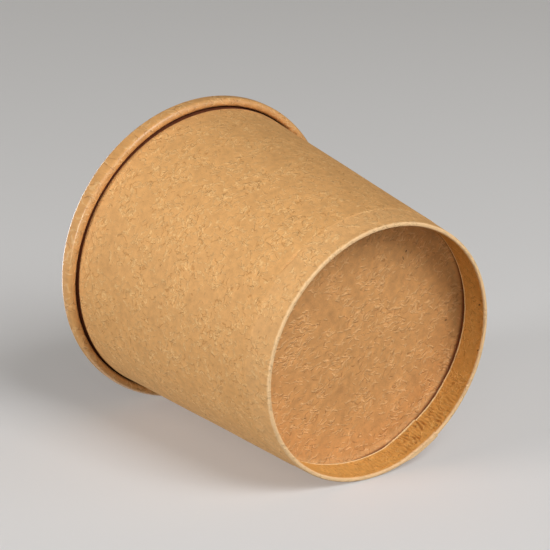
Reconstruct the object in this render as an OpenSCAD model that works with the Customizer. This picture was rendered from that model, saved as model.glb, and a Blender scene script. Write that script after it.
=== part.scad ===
// Soup container of brown paperboard, open, without a lid.
// One conical blank makes the wall. Its top edge is rolled outwards into the
// rim bead. Its bottom edge is folded in and up, and this hem grips the skirt
// of the recessed bottom disc. The two ends of the blank lap in a side seam.
// The origin is the centre of the base edge, and Z points out of the mouth.

/* [Container] */
// Height over the rim bead
height = 86; // [60:0.5:140]
// Diameter over the rim bead
rim_d = 90; // [84:0.5:110]
// Diameter over the folded base edge
base_d = 72; // [56:0.5:78]

/* [Board] */
// Thickness of the wall's board
wall_t = 0.4; // [0.3:0.01:0.55]
// Thickness of the bottom disc's board
disc_t = 0.35; // [0.25:0.01:0.5]

/* [Rim bead] */
// Width of the bead, from the mouth's edge to the rim's outside
bead_w = 3.1; // [2.4:0.05:4.5]
// Height of the straight band round the bead, where a lid grips
bead_flat = 0.7; // [0.3:0.05:1.5]
// Gap between the wall and the edge rolled in under the bead
curl_gap = 0.2; // [0.1:0.01:0.4]
// Length of the edge turned up inside the bead
curl_end = 0.9; // [0.4:0.05:1.2]

/* [Base] */
// Height of the hem folded up inside the base
hem_h = 9.3; // [6:0.1:14]
// Bend radius of the disc's drawn corner, on its underside
corner_r = 2; // [1:0.1:4]
// Room between the hem's raw edge and the disc's corner
corner_room = 0.1; // [0.05:0.05:1]
// Clearance between the disc's skirt and the board on each side
seat_gap = 0.02; // [0.01:0.01:0.05]
// How far the base edge is pressed flat
press = 0.05; // [0.02:0.01:0.15]
// How far the pressed band round the base is set in from the wall
band_step = 0.12; // [0.05:0.01:0.3]
// Height over which the wall runs into that band
band_blend = 0.5; // [0.2:0.1:1.5]

/* [Side seam] */
// Width of the lap
lap_w = 8; // [5:0.5:12]
// How far the upper ply stands proud after sealing
lap_t = 0.3; // [0.15:0.01:0.38]
// Width over which the upper ply runs down to the wall
lap_run = 5; // [3:0.5:8]
// Direction of the seam's middle, seen from above
seam_az = 270; // [0:5:355]

/* [Hidden] */

kraft = [0.80, 0.62, 0.41];
kraft_disc = [0.75, 0.56, 0.37];
round_fn = 180;
bend_steps = 12;

rim_r = rim_d / 2;
base_r = base_d / 2;

// Fold at the base: its outside radius and the centre of its bend
fold_r = wall_t + disc_t / 2 + seat_gap;
fold_x = base_r - fold_r;
fold_z = fold_r - press;

// Bead: the centre of its top bend
bead_r = bead_w / 2;
bead_x = rim_r - bead_r;
bead_z = height - bead_r;

// The wall is the tangent line from the fold to the bead's top bend
run = bead_x - fold_x;
rise = bead_z - fold_z;
across = fold_r + band_step + bead_r - wall_t;
taper = acos(across / norm([run, rise])) - atan2(rise, run);
wall_len = run * sin(taper) + rise * cos(taper);

// Bead: the tighter bend that rolls its edge in under the rim
wall_gap = bead_r + (bead_r - wall_t) / cos(taper);
under_r = (wall_gap - curl_gap) / 2;
under_x = rim_r - under_r;
under_z = bead_z - bead_flat;

// Hem and pressed band, measured up the slope of the wall
hem_len = (hem_h - fold_z - fold_r * sin(taper)) / cos(taper);
band_len = hem_len - band_blend;

// Bottom disc: the centre of its corner bend and its underside
corner_z = hem_h + corner_room;
corner_off = disc_t / 2 + corner_r;
corner_len = (corner_z - fold_z - corner_off * sin(taper)) / cos(taper);
corner_x = fold_x - corner_off * cos(taper) + corner_len * sin(taper);
disc_z = corner_z + corner_r;

// Seam, as angles round the axis
lap_a = lap_w / base_r * 180 / PI;
lap_run_a = lap_run / base_r * 180 / PI;
lap_start = seam_az - lap_a / 2;
lap_end = seam_az + lap_a / 2;
groove_t = 0.8 * lap_t;
ply_root = 0.75 * wall_t;
run_out = 1.35;
run_start = 0.5;
stagger = wall_t / 2;
ply_len = (under_z + curl_end / 2 - fold_z) / cos(taper);

// Arc of points about a centre c
function arc(c, r, from, to) = [
    for (i = [0:bend_steps])
        let (a = from + (to - from) * i / bend_steps)
            c + r * [cos(a), sin(a)]
];

function reversed(points) = [for (i = [len(points) - 1:-1:0]) points[i]];

// Puts points on the wall's slope: X is across the board and Y is up the slope from the fold
function on_slope(points) = [
    for (p = points)
        [
            fold_x + p.x * cos(taper) + p.y * sin(taper),
            fold_z - p.x * sin(taper) + p.y * cos(taper)
        ]
];

function pressed_flat(points) = [for (p = points) [p.x, max(p.y, 0)]];

// Outer face of the blank in section, moved out by proud: down the hem, round the fold, up the band
function outer_face(proud, hem_end) = concat(
    on_slope([[-fold_r - proud, hem_end]]),
    pressed_flat(on_slope(arc([0, 0], fold_r + proud, 180, 360))),
    on_slope([
        [fold_r + proud, band_len],
        [fold_r + proud + band_step, hem_len]
    ])
);

// The bead's hidden face, from the top of the wall to the raw edge inside the bead
function bead_inside() = concat(
    arc([bead_x, bead_z], bead_r - wall_t, 180 - taper, 0),
    arc([under_x, under_z], under_r - wall_t, 0, -180),
    [[under_x - under_r + wall_t, under_z + curl_end]]
);

// The bead's visible face, from that raw edge to the mouth
function bead_outside() = concat(
    [[under_x - under_r, under_z + curl_end]],
    arc([under_x, under_z], under_r, -180, 0),
    arc([bead_x, bead_z], bead_r, 0, 180 - taper)
);

// The blank in section, one board of even thickness from raw edge to raw edge
module blank_section() {
    polygon(concat(
        outer_face(0, hem_len),
        bead_inside(),
        bead_outside(),
        reversed(outer_face(-wall_t, hem_len))
    ));
}

// The seam's upper ply in section, rooted in the board that it is sealed to
module ply_section() {
    polygon(concat(
        outer_face(lap_t, hem_len - stagger),
        on_slope([
            [fold_r + band_step + lap_t, ply_len],
            [fold_r + band_step - ply_root, ply_len]
        ]),
        reversed(outer_face(-ply_root, hem_len - stagger))
    ));
}

// Line up the slope at an offset from the wall's outer face, with the step at the band's top
function slope_line(offset, bottom, top) =
    let (x = fold_r + offset)
        bottom < band_len
            ? [[x, bottom], [x, band_len], [x + band_step, hem_len], [x + band_step, top]]
            : [[x + band_step, bottom], [x + band_step, top]];

// Strip of the slope between two such lines
module slope_strip(inner, outer, bottom, top) {
    polygon(on_slope(concat(
        slope_line(outer, bottom, top),
        reversed(slope_line(inner, bottom, top))
    )));
}

// Revolves a section from one azimuth to another
module revolve(from, to) {
    rotate(from)
        rotate_extrude(angle = to - from, $fn = round_fn)
            children();
}

// Strip beside the lap whose outer face is lifted at the lap's end and sinks back along the run
module sinking_strip(lift, start, inner, outer, bottom, top) {
    slide = -lift / tan(run_out * lap_run_a);
    intersection() {
        revolve(start, lap_end + lap_run_a)
            slope_strip(inner, outer + 2 * lift, bottom, top);
        translate([
            lift * cos(lap_end) - slide * sin(lap_end),
            lift * sin(lap_end) + slide * cos(lap_end)
        ])
            revolve(lap_start, lap_end + 2 * lap_run_a)
                slope_strip(inner - 2 * lift, outer, bottom - wall_t, top + wall_t);
    }
}

// Upper ply of the seam, with its raw edge on one side and its run down to the wall on the other
module seam_ply() {
    revolve(lap_start, lap_end)
        ply_section();
    sinking_strip(lap_t, lap_end - run_start, -wall_t / 2, 0, stagger, ply_len - stagger);
}

// Groove inside the wall, where the lower ply's raw edge shows
module seam_groove() {
    sinking_strip(groove_t, lap_end, -wall_t - 2 * groove_t, -wall_t, hem_len, wall_len - bead_w);
}

module sidewall() {
    color(kraft)
        difference() {
            union() {
                rotate_extrude($fn = round_fn)
                    blank_section();
                seam_ply();
            }
            seam_groove();
        }
}

// The disc in section: skirt, drawn corner and flat panel, from one board
module bottom_disc() {
    color(kraft_disc)
        rotate_extrude($fn = round_fn)
            polygon(concat(
                on_slope([[disc_t / 2, 0]]),
                arc([corner_x, corner_z], corner_r + disc_t, -taper, 90),
                [[0, disc_z + disc_t], [0, disc_z]],
                arc([corner_x, corner_z], corner_r, 90, -taper),
                on_slope([[-disc_t / 2, 0]])
            ));
}

sidewall();
bottom_disc();
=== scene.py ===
"""Looks of the paper soup container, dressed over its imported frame.

One blank of kraft board is rolled outwards into the rim bead and folded
inwards into the hem, which grips the skirt of the drawn bottom disc. Sizes in
the dataclasses are millimetres and degrees, and meshes are metres.
"""

import logging
import math
from dataclasses import dataclass, field
from enum import Enum

import bpy
import numpy as np
from mathutils import Matrix, Vector, noise


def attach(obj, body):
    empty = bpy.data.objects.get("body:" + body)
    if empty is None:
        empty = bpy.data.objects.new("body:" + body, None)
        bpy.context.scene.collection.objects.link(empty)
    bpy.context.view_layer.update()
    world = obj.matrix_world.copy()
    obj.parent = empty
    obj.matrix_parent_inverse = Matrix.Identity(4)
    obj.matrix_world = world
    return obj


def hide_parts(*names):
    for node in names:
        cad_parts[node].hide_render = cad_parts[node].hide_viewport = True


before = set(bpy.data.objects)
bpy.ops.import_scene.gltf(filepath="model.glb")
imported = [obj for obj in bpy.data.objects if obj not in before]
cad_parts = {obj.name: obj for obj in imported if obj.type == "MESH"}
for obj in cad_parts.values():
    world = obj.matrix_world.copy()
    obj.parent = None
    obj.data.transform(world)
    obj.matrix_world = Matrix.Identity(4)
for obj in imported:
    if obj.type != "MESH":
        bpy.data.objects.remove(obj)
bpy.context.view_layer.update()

MM = 0.001
NEAR_SIDE = 66.0
SHEET_MAP = "board_sheet"
PRESSED = "pressed"
Point = tuple[float, float]
Span = tuple[float, float]
Colour = tuple[float, float, float]
log = logging.getLogger("soup_container")


class Zone(Enum):
    """Stretch of the blank's outline, in order from the hem's raw edge."""

    FRAY = "fray"
    HEM = "hem"
    FOLD = "fold"
    BAND = "band"
    STEP = "step"
    WALL = "wall"
    CURL = "curl"
    TIP = "tip"
    BEAD = "bead"
    LINING = "lining"
    TUCK = "tuck"
    BACK = "back"
    RAW = "raw"


class Face(Enum):
    """Face of a board that a finish belongs to, with its material index."""

    PLAIN = 0
    LINED = 1
    CUT = 2
    FOLDED = 3


FACE_OF_ZONE = {
    Zone.FRAY: Face.CUT,
    Zone.HEM: Face.FOLDED,
    Zone.FOLD: Face.PLAIN,
    Zone.BAND: Face.PLAIN,
    Zone.STEP: Face.PLAIN,
    Zone.WALL: Face.PLAIN,
    Zone.CURL: Face.PLAIN,
    Zone.TIP: Face.CUT,
    Zone.BEAD: Face.LINED,
    Zone.LINING: Face.LINED,
    Zone.TUCK: Face.LINED,
    Zone.BACK: Face.LINED,
    Zone.RAW: Face.CUT,
}
HEM_ZONES = (Zone.FRAY, Zone.HEM)
OUTER_ZONES = (*HEM_ZONES, Zone.FOLD, Zone.BAND, Zone.STEP, Zone.WALL)


def srgb(red: int, green: int, blue: int) -> Colour:
    """Turns a screen colour of 0 to 255 into the linear colour of a shader.

    Args:
        red: Red on the screen.
        green: Green on the screen.
        blue: Blue on the screen.

    Returns:
        The same colour in linear light.
    """

    def linear(value: int) -> float:
        """Turns one channel into linear light."""
        share = value / 255
        return share / 12.92 if share <= 0.04045 else ((share + 0.055) / 1.055) ** 2.4

    return linear(red), linear(green), linear(blue)


def smooth(value: np.ndarray | float, low: float, high: float) -> np.ndarray | float:
    """Eases from 0 at low to 1 at high, which may be the smaller one."""
    share = np.clip((value - low) / (high - low), 0, 1)
    return share * share * (3 - 2 * share)


def turn_between(azimuth: np.ndarray, middle: float) -> np.ndarray:
    """Gives the signed angle from a middle azimuth, from -180 to 180."""
    return (azimuth - middle + 180) % 360 - 180


def near(azimuth: np.ndarray, middle: float, reach: float) -> np.ndarray:
    """Eases from 1 at a middle azimuth to 0 at a reach on either side."""
    return smooth(np.abs(turn_between(azimuth, middle)), reach, 0)


def wander(points: np.ndarray, size: float, seed: float) -> np.ndarray:
    """Samples smooth noise of one feature size at each point.

    Args:
        points: Places in millimetres, one row each.
        size: Size of one bump in millimetres.
        seed: Shift that picks another part of the noise.

    Returns:
        Values from about -1 to 1.
    """
    shift = Vector((seed, -seed, 2 * seed))
    return np.array([noise.noise(Vector(p) / size + shift) for p in points])


@dataclass(frozen=True)
class Blank:
    """Sizes of the board blank and its disc, the same as in the part's source."""

    height: float = 86.0
    rim_d: float = 90.0
    base_d: float = 72.0
    wall_t: float = 0.4
    disc_t: float = 0.35
    bead_w: float = 3.1
    bead_flat: float = 0.7
    curl_gap: float = 0.2
    curl_end: float = 0.9
    hem_h: float = 9.3
    corner_r: float = 2.0
    corner_room: float = 0.1
    seat_gap: float = 0.02
    press: float = 0.05
    band_step: float = 0.12
    band_blend: float = 0.5
    lap_w: float = 8.0
    lap_t: float = 0.3
    lap_run: float = 5.0
    seam_az: float = 270.0

    @property
    def fold_r(self) -> float:
        """Outside radius of the fold at the base."""
        return self.wall_t + self.disc_t / 2 + self.seat_gap

    @property
    def fold(self) -> Point:
        """Centre of the fold's bend."""
        return self.base_d / 2 - self.fold_r, self.fold_r - self.press

    @property
    def bead_r(self) -> float:
        """Radius of the bead's top bend."""
        return self.bead_w / 2

    @property
    def bead(self) -> Point:
        """Centre of the bead's top bend."""
        return self.rim_d / 2 - self.bead_r, self.height - self.bead_r

    @property
    def taper(self) -> float:
        """Lean of the wall from upright, in degrees."""
        run, rise = self.bead[0] - self.fold[0], self.bead[1] - self.fold[1]
        across = self.fold_r + self.band_step + self.bead_r - self.wall_t
        lean = math.acos(across / math.hypot(run, rise)) - math.atan2(rise, run)
        return math.degrees(lean)

    @property
    def wall_len(self) -> float:
        """Length of the wall up its slope, from the fold to the bead."""
        run, rise = self.bead[0] - self.fold[0], self.bead[1] - self.fold[1]
        lean = math.radians(self.taper)
        return run * math.sin(lean) + rise * math.cos(lean)

    @property
    def under_r(self) -> float:
        """Radius of the bead's tighter bend, under the rim."""
        lean = math.radians(self.taper)
        room = self.bead_r + (self.bead_r - self.wall_t) / math.cos(lean)
        return (room - self.curl_gap) / 2

    @property
    def under(self) -> Point:
        """Centre of the bead's tighter bend."""
        return self.rim_d / 2 - self.under_r, self.bead[1] - self.bead_flat

    @property
    def hem_len(self) -> float:
        """Length of the hem up the slope."""
        lean = math.radians(self.taper)
        rise = self.hem_h - self.fold[1] - self.fold_r * math.sin(lean)
        return rise / math.cos(lean)

    @property
    def band_len(self) -> float:
        """Length of the pressed band up the slope."""
        return self.hem_len - self.band_blend

    @property
    def corner(self) -> Point:
        """Centre of the disc's drawn corner."""
        lean, rise = math.radians(self.taper), self.hem_h + self.corner_room
        off = self.disc_t / 2 + self.corner_r
        up = (rise - self.fold[1] - off * math.sin(lean)) / math.cos(lean)
        return self.fold[0] - off * math.cos(lean) + up * math.sin(lean), rise

    @property
    def disc_z(self) -> float:
        """Height of the disc's underside."""
        return self.corner[1] + self.corner_r

    @property
    def lap_a(self) -> float:
        """Angle that the lap covers."""
        return math.degrees(self.lap_w / (self.base_d / 2))

    @property
    def lap_run_a(self) -> float:
        """Angle over which the upper ply runs down to the wall."""
        return math.degrees(self.lap_run / (self.base_d / 2))

    @property
    def lap_start(self) -> float:
        """Azimuth of the upper ply's raw edge."""
        return self.seam_az - self.lap_a / 2

    @property
    def lap_end(self) -> float:
        """Azimuth of the lower ply's raw edge."""
        return self.seam_az + self.lap_a / 2

    def up_slope(self, across: float, along: float) -> Point:
        """Puts a point on the wall's slope.

        Args:
            across: Distance outwards from the board's fold centre.
            along: Distance up the slope from the fold centre.

        Returns:
            The point as a radius and a height.
        """
        lean = math.radians(self.taper)
        return (
            self.fold[0] + across * math.cos(lean) + along * math.sin(lean),
            self.fold[1] - across * math.sin(lean) + along * math.cos(lean),
        )

    def bend(self, radius: float, start: float, end: float, steps: int) -> list[Point]:
        """Gives the points of the fold's bend, pressed flat where it stands."""
        turned = arc((0, 0), radius, start, end, steps)
        return [(r, max(z, 0)) for r, z in (self.up_slope(*p) for p in turned)]

    def rows(self, across: float, start: float, end: float, steps: int) -> list[Point]:
        """Gives evenly spaced points up or down the slope."""
        return [
            self.up_slope(across, start + (end - start) * i / steps)
            for i in range(steps + 1)
        ]


def arc(centre: Point, radius: float, start: float, end: float, steps: int) -> list[Point]:
    """Gives the points of an arc.

    Args:
        centre: Centre as a radius and a height.
        radius: Radius of the arc.
        start: First angle in degrees.
        end: Last angle in degrees.
        steps: Number of stretches between the two.

    Returns:
        One point more than there are stretches.
    """
    angles = [math.radians(start + (end - start) * i / steps) for i in range(steps + 1)]
    return [
        (centre[0] + radius * math.cos(a), centre[1] + radius * math.sin(a))
        for a in angles
    ]


@dataclass
class Outline:
    """Closed outline of a section, with the zone of each stretch."""

    points: list[Point] = field(default_factory=list)
    zones: list[Zone] = field(default_factory=list)

    def add(self, zone: Zone, points: list[Point]) -> None:
        """Adds points whose stretches, up to the next point added, are of one zone."""
        self.points += points
        self.zones += [zone] * len(points)

    def lengths(self) -> np.ndarray:
        """Gives how far along the outline each point lies."""
        here = np.array(self.points)
        steps = np.hypot(*(np.roll(here, -1, axis=0) - here).T)
        return np.concatenate([[0], np.cumsum(steps)[:-1]])

    def middles(self) -> np.ndarray:
        """Gives the middle of each stretch, one row each."""
        here = np.array(self.points)
        return (here + np.roll(here, -1, axis=0)) / 2


@dataclass(frozen=True)
class Sector:
    """Part of a turn that a section is spun through in even steps."""

    angle: float
    steps: int


def spin_section(
    name: str, outline: Outline, start: float, sectors: list[Sector]
) -> bpy.types.Object:
    """Spins a closed section round the container's axis into one board.

    Args:
        name: Name of the piece.
        outline: The section, as radii and heights.
        start: Azimuth at which the spin starts.
        sectors: The turn, sector by sector.

    Returns:
        The piece, with its seam merged and its faces pointing outwards.
    """
    bpy.ops.object.select_all(action="DESELECT")
    bpy.ops.mesh.primitive_circle_add(vertices=len(outline.points), radius=0.01)
    piece = bpy.context.object
    piece.name = piece.data.name = name
    turn = math.radians(start)
    for vertex, (radius, height) in zip(piece.data.vertices, outline.points):
        place = (radius * math.cos(turn), radius * math.sin(turn), height)
        vertex.co = Vector(place) * MM
    bpy.ops.object.mode_set(mode="EDIT")
    bpy.ops.mesh.select_all(action="SELECT")
    for sector in sectors:
        bpy.ops.mesh.spin(
            steps=sector.steps,
            angle=-math.radians(sector.angle),
            center=(0, 0, 0),
            axis=(0, 0, 1),
        )
    bpy.ops.mesh.select_all(action="SELECT")
    bpy.ops.mesh.remove_doubles(threshold=0.002 * MM)
    bpy.ops.mesh.normals_make_consistent(inside=False)
    bpy.ops.object.mode_set(mode="OBJECT")
    return piece


def places(piece: bpy.types.Object) -> np.ndarray:
    """Reads a piece's vertices in millimetres, one row each."""
    flat = np.empty(len(piece.data.vertices) * 3)
    piece.data.vertices.foreach_get("co", flat)
    return flat.reshape(-1, 3) / MM


def move_to(piece: bpy.types.Object, points: np.ndarray) -> None:
    """Puts a piece's vertices at places in millimetres."""
    piece.data.vertices.foreach_set("co", (points * MM).ravel())
    piece.data.update()


def nearest_stretch(spots: np.ndarray, targets: np.ndarray) -> np.ndarray:
    """Finds the nearest target for each spot of a section.

    Args:
        spots: Radii and heights, one row each.
        targets: Radii and heights to choose from.

    Returns:
        The index of the nearest target for each spot.
    """
    found = np.empty(len(spots), int)
    for first in range(0, len(spots), 4096):
        part = spots[first : first + 4096, None, :] - targets[None, :, :]
        found[first : first + 4096] = (part**2).sum(2).argmin(1)
    return found


def map_sheet(piece: bpy.types.Object, across: np.ndarray, along: np.ndarray) -> None:
    """Maps each face corner to its place on the flat board, in millimetres.

    Args:
        piece: The piece.
        across: Place across the board for each face corner.
        along: Place along the board for each face corner.
    """
    layer = piece.data.uv_layers.new(name=SHEET_MAP)
    layer.uv.foreach_set("vector", np.column_stack([across, along]).ravel())


def note_pressed(piece: bpy.types.Object, weights: np.ndarray) -> None:
    """Writes how deep a tool has pressed each vertex, for the finish to read.

    Args:
        piece: The piece.
        weights: Value of each vertex, from 0 to 1.
    """
    layer = piece.data.attributes.new(PRESSED, "FLOAT", "POINT")
    layer.data.foreach_set("value", np.clip(weights, 0, 1).astype(np.float32))


def corners(piece: bpy.types.Object) -> tuple[np.ndarray, np.ndarray]:
    """Gives the vertex and the face of each face corner."""
    vertex = np.empty(len(piece.data.loops), int)
    piece.data.loops.foreach_get("vertex_index", vertex)
    total = np.empty(len(piece.data.polygons), int)
    piece.data.polygons.foreach_get("loop_total", total)
    return vertex, np.repeat(np.arange(len(total)), total)


def face_middles(piece: bpy.types.Object) -> np.ndarray:
    """Reads the middles of a piece's faces in millimetres, one row each."""
    flat = np.empty(len(piece.data.polygons) * 3)
    piece.data.polygons.foreach_get("center", flat)
    return flat.reshape(-1, 3) / MM


def in_section(points: np.ndarray) -> np.ndarray:
    """Turns points into radii and heights, one row each."""
    return np.column_stack([np.hypot(points[:, 0], points[:, 1]), points[:, 2]])


def azimuths(points: np.ndarray) -> np.ndarray:
    """Gives the azimuth of each point, from 0 to 360."""
    return np.degrees(np.arctan2(points[:, 1], points[:, 0])) % 360


def dress_faces(piece: bpy.types.Object, outline: Outline) -> None:
    """Gives each face the material of the board's face that it belongs to.

    Args:
        piece: The piece, still in the shape of its outline.
        outline: The section that it was spun from.
    """
    index = nearest_stretch(in_section(face_middles(piece)), outline.middles())
    faces = np.array([FACE_OF_ZONE[zone].value for zone in outline.zones])
    piece.data.polygons.foreach_set("material_index", faces[index])


@dataclass
class Relief:
    """Change of a surface that a press or wear leaves.

    Attributes:
        name: Name of the vertex group that carries it.
        depth: Height in millimetres at full weight, negative where pressed in.
        weights: Weight of each vertex, from 0 to 1.
        direction: Direction of the Displace modifier.
    """

    name: str
    depth: float
    weights: np.ndarray
    direction: str = "NORMAL"

    def press(self, piece: bpy.types.Object) -> None:
        """Shapes a piece with it through a Displace modifier.

        Args:
            piece: The piece, whose vertices the weights belong to.
        """
        group = piece.vertex_groups.new(name=self.name)
        levels = np.rint(np.clip(self.weights, 0, 1) * 1000).astype(int)
        order = np.argsort(levels, kind="stable")
        values, starts = np.unique(levels[order], return_index=True)
        for value, indices in zip(values, np.split(order, starts[1:])):
            if value:
                group.add(indices.tolist(), value / 1000, "REPLACE")
        modifier = piece.modifiers.new(self.name, "DISPLACE")
        modifier.direction = self.direction
        modifier.vertex_group = self.name
        modifier.mid_level = 0
        modifier.strength = self.depth * MM
        bpy.context.view_layer.objects.active = piece
        bpy.ops.object.modifier_apply(modifier=self.name)
        piece.vertex_groups.clear()


@dataclass(frozen=True)
class Dent:
    """Short crease or dent in a surface.

    Attributes:
        azimuth: Azimuth of its middle.
        height: Height of its middle.
        across: Half its size round the container, in millimetres.
        along: Half its size up the wall, in millimetres.
        depth: Share of the full dent depth.
        lean: Turn of its length from upright, in degrees.
    """

    azimuth: float
    height: float
    across: float
    along: float
    depth: float = 1.0
    lean: float = 0.0

    def weights(self, azimuth: np.ndarray, radius: np.ndarray, height: np.ndarray) -> np.ndarray:
        """Weighs vertices by how deep they lie in the dent."""
        side = np.radians(turn_between(azimuth, self.azimuth)) * radius
        up = height - self.height
        tilt = math.radians(self.lean)
        short = side * math.cos(tilt) + up * math.sin(tilt)
        long = up * math.cos(tilt) - side * math.sin(tilt)
        return self.depth * np.exp(-((short / self.across) ** 2) - (long / self.along) ** 2)


@dataclass(frozen=True)
class Speck:
    """Dark speck at one place of a board, in millimetres on the flat sheet."""

    across: float
    along: float
    width: float
    length: float
    lean: float = 0.0


@dataclass(frozen=True)
class Board:
    """Finish of one face of the kraft board."""

    name: str
    ground: Colour
    pale: Colour
    dark: Colour
    roughness: float
    fibre: float
    mottle: float
    relief: float
    specks: float = 0.0
    worn_edge: float = 0.0
    # Amounts of painted shade in the crevices under the rim and behind the hem.
    rim_gap_shade: float = 0.0
    hem_gap_shade: float = 0.0
    # Amount of darkening in the knurl's grooves: pressed board, partly painted shade.
    groove: float = 0.0
    film: float = 0.0
    size: float = 1.0
    lean: float = 0.0
    spread: float = 180.0
    curl: float = 1.6
    amount: float = 0.0
    marks: tuple[Speck, ...] = ()


@dataclass(frozen=True)
class Fibre:
    """Set of fibres, of which each cell of a ragged grid holds one.

    Attributes:
        spacing: Width of a cell in millimetres.
        length: Length of a fibre in millimetres.
        width: Width of a fibre in millimetres.
        share: Share of the cells that hold a fibre.
        seed: Shift that picks another part of the pattern.
    """

    spacing: float
    length: float
    width: float
    share: float
    seed: float


@dataclass(frozen=True)
class Wear:
    """Paler places above the base edge, the rubbed edge and the band over it: heights in metres, none
    to full.
    """

    edge: Span = (0.0009, 0.0001)
    band: Span = (0.0100, 0.0080)
    band_share: float = 0.1
    ragged: float = 0.0009


@dataclass(frozen=True)
class ShadedGaps:
    """Painted shade in the board's crevices: heights and radii in metres, none to full."""

    rim_height: Span = (0.0825, 0.0829)
    rim_radius: Span = (0.0434, 0.0426)
    rim_hang: float = 0.0019
    hem_height: Span = (0.0108, 0.0099)


WORN = Wear()
SHADED_GAPS = ShadedGaps()
RUBBED = srgb(250, 214, 166)
# Colour of the painted shade in the crevices under the rim and behind the hem.
GAP_SHADE = srgb(90, 30, 10)
# Colour of the knurl's grooves: pressed board, darkened further as painted shade.
GROOVE_SHADE = srgb(124, 66, 14)
PALE_FIBRES = (
    Fibre(2.3, 2.5, 0.6, 0.55, 3.1),
    Fibre(1.6, 1.6, 0.46, 0.5, 11.7),
    Fibre(1.9, 2.1, 0.52, 0.45, 23.9),
)
DARK_FIBRES = (
    Fibre(2.4, 2.6, 0.42, 0.34, 57.1),
    Fibre(1.6, 1.5, 0.38, 0.34, 71.9),
)


@dataclass
class ShaderSheet:
    """Lays nodes in one shader tree and joins them."""

    tree: bpy.types.NodeTree

    def node(self, kind: str, inputs: dict | None = None, **settings) -> bpy.types.Node:
        """Adds a node.

        Args:
            kind: Type of the node.
            inputs: Value or output socket for each input, by name or index.
            **settings: Properties of the node.

        Returns:
            The node.
        """
        node = self.tree.nodes.new(kind)
        for name, value in settings.items():
            setattr(node, name, value)
        for key, value in (inputs or {}).items():
            if isinstance(value, bpy.types.NodeSocket):
                self.tree.links.new(value, node.inputs[key])
            else:
                node.inputs[key].default_value = value
        return node

    def math(self, operation: str, *values) -> bpy.types.NodeSocket:
        """Adds a Math node and gives its output."""
        inputs = dict(enumerate(values))
        return self.node("ShaderNodeMath", inputs, operation=operation).outputs[0]

    def vector(self, operation: str, *values) -> bpy.types.NodeSocket:
        """Adds a Vector Math node and gives its output."""
        inputs = dict(enumerate(values))
        return self.node("ShaderNodeVectorMath", inputs, operation=operation).outputs[0]

    def scaled(self, value: bpy.types.NodeSocket, scale) -> bpy.types.NodeSocket:
        """Scales a vector and gives the result."""
        inputs = {"Vector": value, "Scale": scale}
        return self.node("ShaderNodeVectorMath", inputs, operation="SCALE").outputs[0]

    def span(self, value, low: float, high: float, first=0.0, last=1.0) -> bpy.types.NodeSocket:
        """Maps a value smoothly from one span to another."""
        inputs = {0: value, 1: low, 2: high, 3: first, 4: last}
        kind = "ShaderNodeMapRange"
        return self.node(kind, inputs, interpolation_type="SMOOTHSTEP").outputs[0]

    def noise(self, place, scale, detail=2.0, rough=0.5, flat=False) -> bpy.types.Node:
        """Adds a noise texture at a place, in two dimensions where it is flat."""
        inputs = {"Vector": place, "Scale": scale, "Detail": detail, "Roughness": rough}
        kind = "2D" if flat else "3D"
        return self.node("ShaderNodeTexNoise", inputs, noise_dimensions=kind)

    def blend(self, share, first, second, mode: str = "MIX") -> bpy.types.NodeSocket:
        """Mixes two colours and gives the result."""
        node = self.node("ShaderNodeMix", data_type="RGBA", blend_type=mode)
        for index, value in ((0, share), (6, first), (7, second)):
            if isinstance(value, bpy.types.NodeSocket):
                self.tree.links.new(value, node.inputs[index])
            elif index:
                node.inputs[index].default_value = (*value[:3], 1)
            else:
                node.inputs[index].default_value = value
        return node.outputs[2]


def new_group(
    name: str, inputs: dict[str, str], outputs: dict[str, str]
) -> tuple[ShaderSheet, dict, bpy.types.Node]:
    """Starts a shader node group.

    Args:
        name: Name of the group.
        inputs: Socket type of each input, by name.
        outputs: Socket type of each output, by name.

    Returns:
        The group's sheet, its inputs as output sockets by name, and its
        output node.
    """
    tree = bpy.data.node_groups.new(name, "ShaderNodeTree")
    for direction, sockets in (("INPUT", inputs), ("OUTPUT", outputs)):
        for label, kind in sockets.items():
            tree.interface.new_socket(label, in_out=direction, socket_type=kind)
    sheet = ShaderSheet(tree)
    given = sheet.node("NodeGroupInput").outputs
    return sheet, {label: given[label] for label in inputs}, sheet.node("NodeGroupOutput")


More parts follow.
